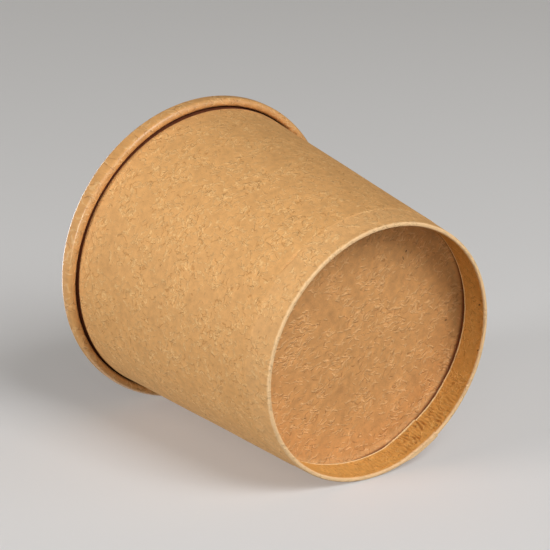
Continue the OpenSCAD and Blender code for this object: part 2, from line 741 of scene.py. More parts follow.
class BoardShop:
    """Builds the shared effects of the board and its materials."""

    FLOAT = "NodeSocketFloat"
    COLOUR = "NodeSocketColor"
    VECTOR = "NodeSocketVector"

    def __init__(self) -> None:
        """Builds each shared effect once."""
        self.fibres = self.fibre_group()
        self.specks = self.speck_group()
        self.wear = self.wear_group()
        self.gap_shade = self.gap_shade_group()

    def strokes(
        self, sheet: ShaderSheet, take: dict, place, patch, fibre: Fibre
    ) -> bpy.types.NodeSocket:
        """Lays one set of fibres, each with its own turn and bow.

        Args:
            sheet: The group's sheet.
            take: The group's inputs by name.
            place: Place on the board in millimetres, already curled.
            patch: Share added to or taken from the cells that hold a fibre.
            fibre: The set's own sizes.

        Returns:
            A mask of the fibres, highest along the middle of each.
        """
        scale = sheet.math("DIVIDE", 1 / fibre.spacing, take["Size"])
        grid = sheet.vector("ADD", sheet.scaled(place, scale), (fibre.seed, 2.7 * fibre.seed, 0.0))
        given = {"Vector": grid, "Scale": 1.0}
        cell = sheet.node("ShaderNodeTexVoronoi", given, voronoi_dimensions="2D")
        local = sheet.vector("SUBTRACT", grid, cell.outputs["Position"])
        chance = sheet.node("ShaderNodeSeparateColor", {0: cell.outputs["Color"]}).outputs
        spread = sheet.math("MULTIPLY", sheet.math("SUBTRACT", chance[0], 0.5), take["Spread"])
        turned = sheet.node(
            "ShaderNodeVectorRotate",
            {"Vector": local, "Angle": sheet.math("ADD", spread, take["Lean"])},
            rotation_type="Z_AXIS",
        ).outputs[0]
        axis = sheet.node("ShaderNodeSeparateXYZ", {0: turned}).outputs
        bow = sheet.math("MULTIPLY", sheet.math("SUBTRACT", chance[1], 0.5), take["Curl"])
        bow = sheet.math("MULTIPLY", bow, sheet.math("MULTIPLY", axis["X"], axis["X"]))
        side = sheet.math("ABSOLUTE", sheet.math("ADD", axis["Y"], bow))
        ridge = sheet.span(side, fibre.width / fibre.spacing / 2, 0.0)
        reach = fibre.length / fibre.spacing / 2
        ends = sheet.span(sheet.math("ABSOLUTE", axis["X"]), reach, 0.6 * reach)
        kept = sheet.math("LESS_THAN", chance[2], sheet.math("ADD", patch, fibre.share))
        return sheet.math("MULTIPLY", sheet.math("MULTIPLY", ridge, ends), kept)

    def fibre_group(self) -> bpy.types.NodeTree:
        """Builds the kraft pulp: short curled fibres on a mottled ground.

        Returns:
            The group, which puts out a colour and the height of the relief.
        """
        given = {
            "Place": self.VECTOR,
            "Ground": self.COLOUR,
            "Pale": self.COLOUR,
            "Dark": self.COLOUR,
            "Fibre": self.FLOAT,
            "Mottle": self.FLOAT,
            "Size": self.FLOAT,
            "Lean": self.FLOAT,
            "Spread": self.FLOAT,
            "Curl": self.FLOAT,
            "Amount": self.FLOAT,
        }
        made = {"Colour": self.COLOUR, "Height": self.FLOAT}
        sheet, take, out = new_group("kraft_fibres", given, made)
        place = take["Place"]
        swirl = sheet.noise(place, 0.55, 1.0, flat=True).outputs["Color"]
        swirl = sheet.vector("SUBTRACT", swirl, (0.5, 0.5, 0.5))
        swirl = sheet.scaled(swirl, sheet.math("MULTIPLY", take["Curl"], 0.8))
        curled = sheet.vector("ADD", place, swirl)
        cloud = sheet.noise(place, 0.13, 3.0, 0.6, flat=True).outputs[0]
        blotch = sheet.noise(place, 0.55, 2.0, 0.55, flat=True).outputs[0]
        grain = sheet.noise(place, 2.6, 2.0, 0.6, flat=True).outputs[0]
        patch = sheet.math("MULTIPLY", sheet.math("SUBTRACT", cloud, 0.5), 2.4)
        patch = sheet.math("ADD", patch, take["Amount"])
        pale, dark = (
            self.gather(sheet, [self.strokes(sheet, take, curled, patch, f) for f in fibres])
            for fibres in (PALE_FIBRES, DARK_FIBRES)
        )
        tone = sheet.math("SUBTRACT", sheet.math("ADD", cloud, blotch), 1.0)
        tone = sheet.math("MULTIPLY", tone, take["Mottle"])
        fine = sheet.math("MULTIPLY", sheet.math("SUBTRACT", grain, 0.5), 0.22)
        tone = sheet.math("ADD", sheet.math("ADD", tone, fine), 1.0)
        share = sheet.math("MULTIPLY", dark, take["Fibre"])
        colour = sheet.blend(share, take["Ground"], take["Dark"])
        share = sheet.math("MULTIPLY", pale, take["Fibre"])
        colour = sheet.blend(share, colour, take["Pale"])
        colour = sheet.scaled(colour, tone)
        height = sheet.math("SUBTRACT", pale, sheet.math("MULTIPLY", dark, 0.6))
        height = sheet.math("ADD", height, sheet.math("MULTIPLY", grain, 0.5))
        sheet.tree.links.new(colour, out.inputs["Colour"])
        sheet.tree.links.new(height, out.inputs["Height"])
        return sheet.tree

    def gather(self, sheet: ShaderSheet, masks: list[bpy.types.NodeSocket]) -> bpy.types.NodeSocket:
        """Takes the highest of several masks."""
        whole = masks[0]
        for mask in masks[1:]:
            whole = sheet.math("MAXIMUM", whole, mask)
        return whole

    def speck_group(self) -> bpy.types.NodeTree:
        """Builds the few dark specks of bark in the pulp.

        Returns:
            The group, which puts out a mask.
        """
        sheet, take, out = new_group("bark_specks", {"Amount": self.FLOAT}, {"Mask": self.FLOAT})
        place = sheet.node("ShaderNodeTexCoord").outputs["Object"]
        ragged = sheet.noise(place, 1500.0, 1.0).outputs["Color"]
        ragged = sheet.vector("SUBTRACT", ragged, (0.5, 0.5, 0.5))
        place = sheet.vector("ADD", place, sheet.scaled(ragged, 0.0004))
        cell = sheet.node("ShaderNodeTexVoronoi", {"Vector": place, "Scale": 230.0})
        reach = sheet.span(cell.outputs["Distance"], 0.075, 0.04)
        rare = sheet.node("ShaderNodeSeparateColor", {0: cell.outputs["Color"]}).outputs[0]
        rare = sheet.math("LESS_THAN", rare, take["Amount"])
        sheet.tree.links.new(sheet.math("MULTIPLY", reach, rare), out.inputs["Mask"])
        return sheet.tree

    def speck(
        self, sheet: ShaderSheet, place: bpy.types.NodeSocket, mark: Speck
    ) -> bpy.types.NodeSocket:
        """Draws one speck at its place on the board.

        Args:
            sheet: The material's sheet.
            place: Place on the board in millimetres.
            mark: The speck.

        Returns:
            A mask of the speck.
        """
        local = sheet.vector("SUBTRACT", place, (mark.across, mark.along, 0.0))
        inputs = {"Vector": local, "Angle": math.radians(mark.lean)}
        turned = sheet.node("ShaderNodeVectorRotate", inputs, rotation_type="Z_AXIS").outputs[0]
        shrunk = sheet.vector("MULTIPLY", turned, (2 / mark.length, 2 / mark.width, 0.0))
        length = sheet.node("ShaderNodeVectorMath", {0: shrunk}, operation="LENGTH")
        ragged = sheet.noise(place, 3.5, 1.0, flat=True).outputs[0]
        return sheet.span(sheet.math("ADD", length.outputs["Value"], ragged), 1.6, 1.1)

    def wear_group(self) -> bpy.types.NodeTree:
        """Builds the paler rubbed line along the folded base edge.

        The pressed band above the line is made a little paler too.

        Returns:
            The group, which puts out a mask.
        """
        sheet, take, out = new_group("fold_wear", {"Amount": self.FLOAT}, {"Mask": self.FLOAT})
        place = sheet.node("ShaderNodeTexCoord").outputs["Object"]
        height = sheet.node("ShaderNodeSeparateXYZ", {0: place}).outputs["Z"]
        ragged = sheet.noise(place, 700.0, 3.0, 0.6).outputs[0]
        ragged = sheet.math("MULTIPLY", sheet.math("SUBTRACT", ragged, 0.5), WORN.ragged)
        edge = sheet.math("ADD", height, ragged)
        mask = sheet.span(edge, *WORN.edge)
        band = sheet.math("MULTIPLY", sheet.span(edge, *WORN.band), WORN.band_share)
        mask = sheet.math("MAXIMUM", mask, band)
        sheet.tree.links.new(sheet.math("MULTIPLY", mask, take["Amount"]), out.inputs["Mask"])
        return sheet.tree

    def gap_shade_group(self) -> bpy.types.NodeTree:
        """Builds the painted shade in the crevices under the rolled rim and behind the hem's raw edge.

        The painted shade under the rim reaches lowest where the rim hangs lowest.

        Returns:
            The group, which puts out a mask of painted shade for each crevice.
        """
        sheet, _, out = new_group("board_gap_shade", {}, {"Rim": self.FLOAT, "Hem": self.FLOAT})
        place = sheet.node("ShaderNodeTexCoord").outputs["Object"]
        axis = sheet.node("ShaderNodeSeparateXYZ", {0: place}).outputs
        squares = [sheet.math("MULTIPLY", axis[name], axis[name]) for name in "XY"]
        radius = sheet.math("SQRT", sheet.math("ADD", *squares))
        lean = math.radians(NEAR_SIDE)
        side = sheet.math(
            "ADD",
            sheet.math("MULTIPLY", axis["X"], math.cos(lean)),
            sheet.math("MULTIPLY", axis["Y"], math.sin(lean)),
        )
        hang = sheet.span(sheet.math("DIVIDE", side, radius), 0.0, 0.8, 0.0, SHADED_GAPS.rim_hang)
        high = sheet.span(sheet.math("ADD", axis["Z"], hang), *SHADED_GAPS.rim_height)
        inner = sheet.span(radius, *SHADED_GAPS.rim_radius)
        sheet.tree.links.new(sheet.math("MULTIPLY", high, inner), out.inputs["Rim"])
        sheet.tree.links.new(sheet.span(axis["Z"], *SHADED_GAPS.hem_height), out.inputs["Hem"])
        return sheet.tree

    def material(self, board: Board) -> bpy.types.Material:
        """Makes the material of one face of the board.

        Args:
            board: The finish.

        Returns:
            The material.
        """
        material = bpy.data.materials.new(board.name)
        material.use_nodes = True
        sheet = ShaderSheet(material.node_tree)
        shader = material.node_tree.nodes["Principled BSDF"]
        shader.inputs["Roughness"].default_value = board.roughness
        shader.inputs["Specular IOR Level"].default_value = 0.35
        if board.film:
            shader.inputs["Coat Weight"].default_value = board.film
            shader.inputs["Coat Roughness"].default_value = 0.26
        place = sheet.node("ShaderNodeUVMap", uv_map=SHEET_MAP).outputs["UV"]
        pulp = sheet.node("ShaderNodeGroup", node_tree=self.fibres)
        material.node_tree.links.new(place, pulp.inputs["Place"])
        pulp.inputs["Size"].default_value = board.size
        pulp.inputs["Spread"].default_value = math.radians(board.spread)
        pulp.inputs["Curl"].default_value = board.curl
        pulp.inputs["Amount"].default_value = board.amount
        pulp.inputs["Lean"].default_value = math.radians(board.lean)
        colours = {"Ground": board.ground, "Pale": board.pale, "Dark": board.dark}
        for label, value in colours.items():
            pulp.inputs[label].default_value = (*value, 1)
        pulp.inputs["Fibre"].default_value = board.fibre
        pulp.inputs["Mottle"].default_value = board.mottle
        colour = pulp.outputs["Colour"]
        if board.worn_edge:
            wear = sheet.node("ShaderNodeGroup", node_tree=self.wear)
            wear.inputs["Amount"].default_value = board.worn_edge
            colour = sheet.blend(wear.outputs["Mask"], colour, RUBBED)
        if board.specks:
            specks = sheet.node("ShaderNodeGroup", node_tree=self.specks)
            specks.inputs["Amount"].default_value = board.specks
            mask = specks.outputs["Mask"]
            for mark in board.marks:
                mask = sheet.math("MAXIMUM", mask, self.speck(sheet, place, mark))
            bark = tuple(0.35 * c for c in board.dark)
            colour = sheet.blend(mask, colour, bark)
        # Darker in the knurl's grooves: pressed board, with painted shade in them.
        if board.groove:
            pressed = sheet.node("ShaderNodeAttribute", attribute_name=PRESSED).outputs["Fac"]
            colour = sheet.blend(sheet.math("MULTIPLY", pressed, board.groove), colour, GROOVE_SHADE)
        # Painted shade: darkens the crevices under the rolled rim and behind the hem's raw edge.
        for label, amount in (("Rim", board.rim_gap_shade), ("Hem", board.hem_gap_shade)):
            if amount:
                mask = sheet.node("ShaderNodeGroup", node_tree=self.gap_shade).outputs[label]
                colour = sheet.blend(sheet.math("MULTIPLY", mask, amount), colour, GAP_SHADE)
        bump = sheet.node("ShaderNodeBump", {"Height": pulp.outputs["Height"]})
        bump.inputs["Strength"].default_value = 1.0
        bump.inputs["Distance"].default_value = board.relief * MM
        material.node_tree.links.new(colour, shader.inputs["Base Color"])
        material.node_tree.links.new(bump.outputs["Normal"], shader.inputs["Normal"])
        return material


def finish_piece(piece: bpy.types.Object, node: str, crease: float = 35.0) -> None:
    """Smooths a piece and hands it over to the frame.

    Args:
        piece: The piece.
        node: CAD node that it stands for.
        crease: Angle in degrees above which an edge stays sharp.
    """
    bpy.ops.object.select_all(action="DESELECT")
    piece.select_set(True)
    bpy.context.view_layer.objects.active = piece
    bpy.ops.object.shade_smooth_by_angle(angle=math.radians(crease))
    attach(piece, "root")
    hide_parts(node)
    log.info("%s: %d faces", piece.name, len(piece.data.polygons))


@dataclass
class Sidewall:
    """The blank: hem, fold, pressed band, wall and rolled bead, in one board.

    Attributes:
        edge_angle: Angle over which a ply's raw edge steps up.
        fray: Length of the frayed edge of the hem, pale pulp with a painted highlight.
        near_step: Length of the wall above the band that is cut finely.
        bead_drop: How far the bead's underside hangs on the near side.
        ridge_turn: Direction of the bead's ridge from its lower bend.
        open_side: Azimuth where the hem's raw edge springs out most.
        open_reach: How far it springs inwards there.
        open_drop: How much lower it lies there.
        skin: How far the surface stays inside the CAD solid's.
    """

    blank: Blank = field(default_factory=Blank)
    hem_rows: int = 12
    fold_steps: int = 18
    band_rows: int = 12
    wall_rows: int = 16
    curl_steps: int = 8
    bead_steps: int = 18
    lining_rows: int = 10
    columns: int = 331
    lap_columns: int = 12
    run_columns: int = 8
    edge_angle: float = 0.06
    cut_round: float = 0.08
    closing_length: float = 0.3
    sheet_share: float = 0.45
    fray: float = 0.55
    near_step: float = 1.4
    near_step_rows: int = 8
    near_side: float = NEAR_SIDE
    bead_drop: float = 2.15
    ridge_height: float = 0.12
    ridge_turn: float = -25.0
    ridge_reach: float = 12.0
    band_depth: float = 0.12
    knurl_cuts: int = 2
    knurl_pitch: float = 1.7
    knurl_depth: float = 0.38
    knurl_least: float = 0.08
    groove_depth: float = 0.24
    dent_depth: float = 0.4
    wave: float = 0.09
    open_side: float = 205.0
    open_reach: float = 0.95
    open_drop: float = 1.4
    ragged: float = 0.12
    oval: float = 0.16
    foot_wave: float = 0.07
    skin: float = 0.006
    headroom: float = 0.004
    plain: Board = Board(
        "kraft_outside", srgb(220, 166, 104), srgb(242, 198, 136), srgb(178, 120, 58),
        roughness=0.72, fibre=0.6, mottle=0.34, relief=0.12, specks=0.012, worn_edge=0.7,
        rim_gap_shade=0.94, size=1.15, curl=3.0,
    )
    folded: Board = Board(
        "kraft_hem", srgb(224, 168, 90), srgb(242, 194, 118), srgb(170, 110, 42),
        roughness=0.72, fibre=0.6, mottle=0.3, relief=0.1, specks=0.012, worn_edge=0.0,
        groove=0.6, size=1.1, curl=2.0,
        marks=(Speck(210.2, 7.1, 0.55, 1.4, 60), Speck(225.0, 8.6, 0.45, 1.2, 70)),
    )
    lined: Board = Board(
        "kraft_lined", srgb(216, 161, 100), srgb(236, 192, 134), srgb(160, 108, 60),
        roughness=0.45, fibre=0.6, mottle=0.35, relief=0.08, specks=0.01, film=0.5,
        rim_gap_shade=0.25, size=1.2,
    )
    # Paler pulp of the cut edges, lightened further as a painted highlight along the hem's frayed raw
    # edge.
    cut: Board = Board(
        "kraft_cut_edge_painted_highlight", srgb(253, 226, 172), srgb(255, 240, 204), srgb(214, 158, 96),
        roughness=0.85, fibre=0.6, mottle=0.5, relief=0.06,
    )
    dents: tuple[Dent, ...] = (
        Dent(79.5, 9.25, 3.2, 0.34, 1.3, -3),
        Dent(92.0, 9.4, 5.0, 0.4, 0.5, 3),
        Dent(18.6, 3.0, 0.5, 2.2, 0.8, 8),
        Dent(26.1, 3.2, 0.45, 1.4, 0.7, -10),
        Dent(75.1, 3.6, 0.5, 1.8, 0.35),
        Dent(104.6, 2.6, 1.1, 0.7, 0.9, 30),
        Dent(135.0, 2.4, 1.2, 0.9, 0.6),
        Dent(117.0, 2.0, 5.0, 0.5, 0.45, 4),
        Dent(62.0, 31.0, 6.0, 9.0, 0.35, 20),
        Dent(205.0, 55.0, 7.0, 12.0, 0.4, -15),
        Dent(330.0, 40.0, 6.0, 10.0, 0.35, 10),
    )

    def outline(self) -> Outline:
        """Draws the blank's section, from the hem's raw edge and back to it.

        Returns:
            The closed section with its zones.
        """
        size, out = self.blank, Outline()
        fold_r, thick, top = size.fold_r, size.wall_t, size.hem_len
        wall_x, cut = fold_r + size.band_step, self.cut_round
        out.add(Zone.FRAY, [size.up_slope(-fold_r, top - cut)])
        out.add(Zone.HEM, size.rows(-fold_r, top - self.fray, 0, self.hem_rows)[:-1])
        out.add(Zone.FOLD, size.bend(fold_r, 180, 360, self.fold_steps)[:-1])
        out.add(Zone.BAND, size.rows(fold_r, 0, size.band_len, self.band_rows)[:-1])
        for share in (0, 0.25, 0.5, 0.75):
            across = fold_r + size.band_step * smooth(share, 0, 1)
            out.add(Zone.STEP, [size.up_slope(across, size.band_len + size.band_blend * share)])
        step_end = top + self.near_step
        out.add(Zone.WALL, size.rows(wall_x, top, step_end, self.near_step_rows)[:-1])
        out.add(Zone.WALL, size.rows(wall_x, step_end, size.wall_len, self.wall_rows)[:-1])
        inner, under_r, under = size.bead_r - thick, size.under_r, size.under
        out.add(Zone.CURL, arc(size.bead, inner, 180 - size.taper, 0, self.curl_steps)[:-1])
        out.add(Zone.CURL, arc(under, under_r - thick, 0, -180, self.curl_steps))
        tip_r, tip_z = under[0] - under_r, under[1] + size.curl_end
        out.add(Zone.TIP, [(tip_r + thick, tip_z)])
        out.add(Zone.BEAD, [(tip_r, tip_z)])
        out.add(Zone.BEAD, arc(under, under_r, -180, 0, self.bead_steps))
        out.add(Zone.BEAD, arc(size.bead, size.bead_r, 0, 180 - size.taper, self.bead_steps)[:-1])
        out.add(Zone.LINING, size.rows(wall_x - thick, size.wall_len, top, self.lining_rows)[:-1])
        out.add(Zone.TUCK, [size.up_slope(wall_x - thick, top)])
        out.add(Zone.TUCK, size.rows(fold_r - thick, size.band_len, 0, 2)[:-1])
        out.add(Zone.TUCK, size.bend(fold_r - thick, 360, 180, self.curl_steps)[:-1])
        out.add(Zone.BACK, size.rows(thick - fold_r, 0, top - cut, self.curl_steps)[:-1])
        corners = ((thick - fold_r, top - cut), (thick - fold_r - cut, top), (cut - fold_r, top))
        out.add(Zone.RAW, [size.up_slope(*corner) for corner in corners])
        return out

    def build(self, shop: BoardShop) -> bpy.types.Object:
        """Models the blank and dresses it.

        Args:
            shop: Where the materials come from.

        Returns:
            The finished piece.
        """
        size, outline = self.blank, self.outline()
        edge = self.edge_angle
        sectors = [
            Sector(edge, 1),
            Sector(size.lap_a - edge, self.lap_columns),
            Sector(edge, 1),
            Sector(size.lap_run_a, self.run_columns),
            Sector(360 - size.lap_a - size.lap_run_a - edge, self.columns),
        ]
        piece = spin_section("board_sidewall", outline, size.lap_start, sectors)
        for board in (self.plain, self.lined, self.cut, self.folded):
            piece.data.materials.append(shop.material(board))
        self.split_hem(piece, outline)
        dress_faces(piece, outline)
        self.map_board(piece, outline)
        self.shape(piece, outline)
        finish_piece(piece, "sidewall")
        return piece

    def split_hem(self, piece: bpy.types.Object, outline: Outline) -> None:
        """Cuts the hem and the fold finer round the turn, for the knurl."""
        index = nearest_stretch(in_section(places(piece)), np.array(outline.points))
        fine = (*HEM_ZONES, Zone.FOLD, Zone.RAW)
        chosen = np.array([zone in fine for zone in outline.zones])[index]
        pairs = np.empty(len(piece.data.edges) * 2, int)
        piece.data.edges.foreach_get("vertices", pairs)
        pairs = pairs.reshape(-1, 2)
        along = (index[pairs[:, 0]] == index[pairs[:, 1]]) & chosen[pairs].all(1)
        bpy.ops.object.mode_set(mode="EDIT")
        bpy.ops.mesh.select_all(action="DESELECT")
        bpy.ops.mesh.select_mode(type="EDGE")
        bpy.ops.object.mode_set(mode="OBJECT")
        piece.data.edges.foreach_set("select", along)
        bpy.ops.object.mode_set(mode="EDIT")
        bpy.ops.mesh.subdivide(number_cuts=self.knurl_cuts, ngon=False)
        bpy.ops.object.mode_set(mode="OBJECT")

    def map_board(self, piece: bpy.types.Object, outline: Outline) -> None:
        """Maps the blank flat, with its ends at the raw edge of the upper ply."""
        points, middles = places(piece), face_middles(piece)
        vertex, face = corners(piece)
        start = self.blank.lap_start
        index = nearest_stretch(in_section(points), np.array(outline.points))
        at_middle = ((azimuths(middles) - start) % 360)[face]
        turn = (azimuths(points)[vertex] - start) % 360
        turn = at_middle + turn_between(turn, at_middle)
        stretch = nearest_stretch(in_section(middles), outline.middles())[face]
        lengths = outline.lengths()
        along = lengths[index[vertex]]
        closing = (stretch + 1 == len(lengths)) & (along == 0)
        along = np.where(closing, lengths[-1] + self.closing_length, along)
        map_sheet(piece, np.radians(turn) * self.blank.rim_d * self.sheet_share, along)

    def shape(self, piece: bpy.types.Object, outline: Outline) -> None:
        """Presses the seam, the knurl and the marks of use into the blank."""
        size = self.blank
        points = places(piece)
        azimuth = azimuths(points)
        radius, height = in_section(points).T
        index = nearest_stretch(in_section(points), np.array(outline.points))
        zone = np.array([z.value for z in outline.zones])[index]

        def on(*zones: Zone) -> np.ndarray:
            """Gives 1 for vertices of these zones and 0 for others."""
            return np.isin(zone, [z.value for z in zones]).astype(float)

        past_edge = turn_between(azimuth, size.lap_start)
        past_end = turn_between(azimuth, size.lap_end)
        lapped = (past_edge > self.edge_angle / 2) & (past_end <= 1e-3 * self.edge_angle)
        sunk = smooth(past_end, size.lap_run_a, 0) * (past_end > 0)
        ply = on(*OUTER_ZONES) * np.where(lapped, 1.0, sunk) * smooth(height, 83.6, 81.5)
        groove = smooth(past_end, size.lap_run_a, 0) * (past_end > self.edge_angle / 2)
        lining = on(Zone.LINING) * smooth(height, size.hem_h, size.hem_h + 2)
        groove_weights = groove * (lining + 0.45 * on(Zone.BEAD) * smooth(height, 82.4, 84.0))

        spread = near(azimuth, 268, 20)
        spread = spread + 0.4 * near(azimuth, 300, 34) + 0.4 * near(azimuth, 248, 24)
        strength = np.clip(self.knurl_least + spread, 0, 1)
        wobble = 1.6 * wander(points, 2.4, 3.1) + 0.12 * height
        ridge = 0.5 - 0.5 * np.cos(2 * math.pi * (azimuth + wobble) / self.knurl_pitch)
        rows = smooth(height, 0.9, 2.0) * smooth(height, 9.2, 8.3)
        breaks = np.clip(0.6 + 1.2 * wander(points, 1.7, 9.1), 0, 1)
        knurl = on(*HEM_ZONES) * ridge * strength * rows * breaks
        note_pressed(piece, knurl)

        marks = sum(dent.weights(azimuth, radius, height) for dent in self.dents)
        marks = marks * on(Zone.BAND, Zone.STEP, Zone.WALL)
        band = on(Zone.BAND) * smooth(height, 0.4, 2.0) * near(azimuth, 82, 46)
        waves = 0.5 + 0.5 * wander(points, 14.0, 1.7)
        waves = waves * on(Zone.WALL) * smooth(height, 10, 16) * smooth(height, 82, 76)
        turn = np.degrees(np.arctan2(height - size.under[1], radius - size.under[0]))
        crest = np.exp(-(((turn - self.ridge_turn) / self.ridge_reach) ** 2))
        crest = crest * on(Zone.BEAD) * (height < size.under[1])
        crest = crest * (0.6 + 0.4 * wander(points, 12.0, 8.8)) * near(azimuth, self.near_side, 130)
        for relief in (
            Relief("upper_ply", size.lap_t, ply),
            Relief("lower_ply_edge", -self.groove_depth, groove_weights),
            Relief("knurl", -self.knurl_depth, knurl),
            Relief("bead_ridge", self.ridge_height, crest),
            Relief("pressed_band", -self.band_depth, band),
            Relief("dents", -self.dent_depth, marks),
            Relief("waves", -self.wave, waves),
        ):
            relief.press(piece)
        self.spring(piece, zone)

    def spring(self, piece: bpy.types.Object, zone: np.ndarray) -> None:
        """Lets the hem's raw edge spring inwards and the rim go out of round.

        Args:
            piece: The piece.
            zone: Name of each vertex's zone.
        """
        points = places(piece)
        azimuth, height = azimuths(points), points[:, 2]
        loose = np.isin(zone, [z.value for z in (*HEM_ZONES, Zone.BACK, Zone.RAW)])
        open_side = near(azimuth, self.open_side, 44)
        reach = self.open_reach * open_side
        reach = reach + 0.35 * near(azimuth, 266, 16) + 0.7 * near(azimuth, 315, 38) + 0.06
        inward = loose * reach * smooth(height, 1.5, 9.3)
        ragged = self.ragged * wander(points * np.array([1, 1, 0]), 2.2, 6.1)
        sunk = loose * (self.open_drop * open_side + ragged) * smooth(height, 1.0, 9.3)
        points[:, 2] -= sunk
        rolled = np.isin(zone, [z.value for z in (Zone.CURL, Zone.TIP, Zone.BEAD)])
        low_part = smooth(height, 84.4, 83.0) * near(azimuth, self.near_side, 105)
        points[:, 2] -= self.bead_drop * rolled * low_part
        turn = np.radians(azimuth)
        oval = 0.5 + 0.5 * np.cos(2 * turn - 1.1) * 0.7 + 0.15 * np.cos(3 * turn + 0.6)
        inward = inward + self.oval * oval * smooth(height, 40, 86) + self.skin
        radius = np.hypot(points[:, 0], points[:, 1])
        points[:, :2] *= ((radius - inward) / radius)[:, None]
        lift = self.foot_wave * (0.5 + 0.5 * wander(points, 11.0, 5.2)) * smooth(height, 1.6, 0.3)
        points[:, 2] = np.clip(points[:, 2] + lift, 0, self.blank.height - self.headroom)
        move_to(piece, points)


@dataclass
class BottomDisc:
    """The drawn disc, with its flat panel, rounded corner and skirt."""

    blank: Blank = field(default_factory=Blank)
    columns: int = 360
    panel_rows: int = 18
    corner_steps: int = 10
    skirt_rows: int = 6
    sag: float = 0.35
    wave: float = 0.25
    pleat: float = 0.05
    pleats: int = 47
    plain: Board = Board(
        "kraft_disc", srgb(212, 156, 97), srgb(244, 198, 142), srgb(160, 106, 58),
        roughness=0.7, fibre=0.55, mottle=0.42, relief=0.12, specks=0.01, hem_gap_shade=0.85,
        size=1.05, lean=-8, spread=110, curl=1.6, amount=-0.07,
        marks=(
            Speck(-24.4, 10.8, 0.5, 0.9, 20),
            Speck(-22.7, 9.7, 0.3, 1.5, 80),
            Speck(-26.1, -17.1, 0.5, 0.9, -30),
        ),
    )
    lined: Board = Board(
        "kraft_disc_lined", srgb(214, 158, 98), srgb(234, 188, 130), srgb(160, 108, 60),
        roughness=0.5, fibre=0.6, mottle=0.3, relief=0.04, specks=0.01, film=0.6,
    )
    cut: Board = Board(
        "kraft_disc_cut_edge", srgb(236, 190, 134), srgb(250, 220, 172), srgb(198, 140, 86),
        roughness=0.85, fibre=0.6, mottle=0.4, relief=0.06,
    )

    def outline(self) -> Outline:
        """Draws the disc's section from the middle of its underside to its top.

        Returns:
            The section, whose last stretch lies on the axis.
        """
        size, out = self.blank, Outline()
        corner, low, high = size.corner, size.disc_z, size.disc_z + size.disc_t
        panel = [corner[0] * i / self.panel_rows for i in range(self.panel_rows)]
        half, outer = size.disc_t / 2, size.corner_r + size.disc_t
        along = math.hypot(*(a - b for a, b in zip(self.skirt_top(), size.up_slope(-half, 0))))
        out.add(Zone.WALL, [(r, low) for r in panel])
        out.add(Zone.FOLD, arc(corner, size.corner_r, 90, -size.taper, self.corner_steps)[:-1])
        out.add(Zone.BAND, size.rows(-half, along, 0, self.skirt_rows)[:-1])
        out.add(Zone.RAW, [size.up_slope(-half, 0)])
        out.add(Zone.BACK, size.rows(half, 0, along, self.skirt_rows)[:-1])
        out.add(Zone.LINING, arc(corner, outer, -size.taper, 90, self.corner_steps)[:-1])
        out.add(Zone.LINING, [(corner[0] * i / 8, high) for i in range(8, 0, -1)])
        out.add(Zone.LINING, [(0, high)])
        return out

    def skirt_top(self) -> Point:
        """Gives the point where the corner ends and the skirt begins."""
        lean = math.radians(self.blank.taper)
        reach = self.blank.corner_r
        return (
            self.blank.corner[0] + reach * math.cos(lean),
            self.blank.corner[1] - reach * math.sin(lean),
        )

    def build(self, shop: BoardShop) -> bpy.types.Object:
        """Models the disc and dresses it.

        Args:
            shop: Where the materials come from.

        Returns:
            The finished piece.
        """
        outline = self.outline()
        piece = spin_section("board_bottom_disc", outline, 0, [Sector(360, self.columns)])
        for board in (self.plain, self.lined, self.cut):
            piece.data.materials.append(shop.material(board))
        dress_faces(piece, outline)
        self.map_board(piece, outline)
        self.shape(piece)
        finish_piece(piece, "bottom_disc")
        return piece

    def map_board(self, piece: bpy.types.Object, outline: Outline) -> None:
        """Maps the disc flat, its skirt unrolled outwards from the panel."""
        points = places(piece)
        vertex, _ = corners(piece)
        index = nearest_stretch(in_section(points), np.array(outline.points))
        lengths = outline.lengths()
        under = lengths[index]
        over = lengths[-1] - lengths[index]
        reach = np.where(under < lengths[-1] / 2, under, over)[vertex]
        turn = np.radians(azimuths(points))[vertex]
        map_sheet(piece, reach * np.cos(turn), reach * np.sin(turn))

    def shape(self, piece: bpy.types.Object) -> None:
        """Gives the panel its slight sag and waves, and the corner its drawing marks."""
        points = places(piece)
        azimuth = azimuths(points)
        radius, height = in_section(points).T
        flat = points * np.array([1, 1, 0])
        on_panel = smooth(radius, 33.5, 26)
        waves = on_panel * (0.5 + 0.5 * wander(flat, 16.0, 2.4))
        dome = on_panel * (1 - (radius / 34) ** 2).clip(0)
        drawn = smooth(radius, 31.5, 33.6) * smooth(height, 6, 9)
        pleats = 0.5 + 0.5 * np.sin(np.radians(azimuth) * self.pleats + 3 * wander(flat, 12.0, 4.4))
        for relief in (
            Relief("waves", self.wave, waves, "Z"),
            Relief("sag", -self.sag, dome, "Z"),
            Relief("drawing_marks", self.pleat, drawn * pleats, "Z"),
        ):
            relief.press(piece)


@dataclass(frozen=True)
class Softbox:
    """Area lamp, placed from the camera's side of the scene.

    Attributes:
        name: Name of the lamp.
        direction: Rightwards, upwards and towards the camera in the picture.
        power: Power in watts.
        size: Width of the square lamp in metres.
        upright: Whether the direction is the container's own X, Y and Z.
    """

    name: str
    direction: tuple[float, float, float]
    power: float
    size: float = 0.8
    upright: bool = False


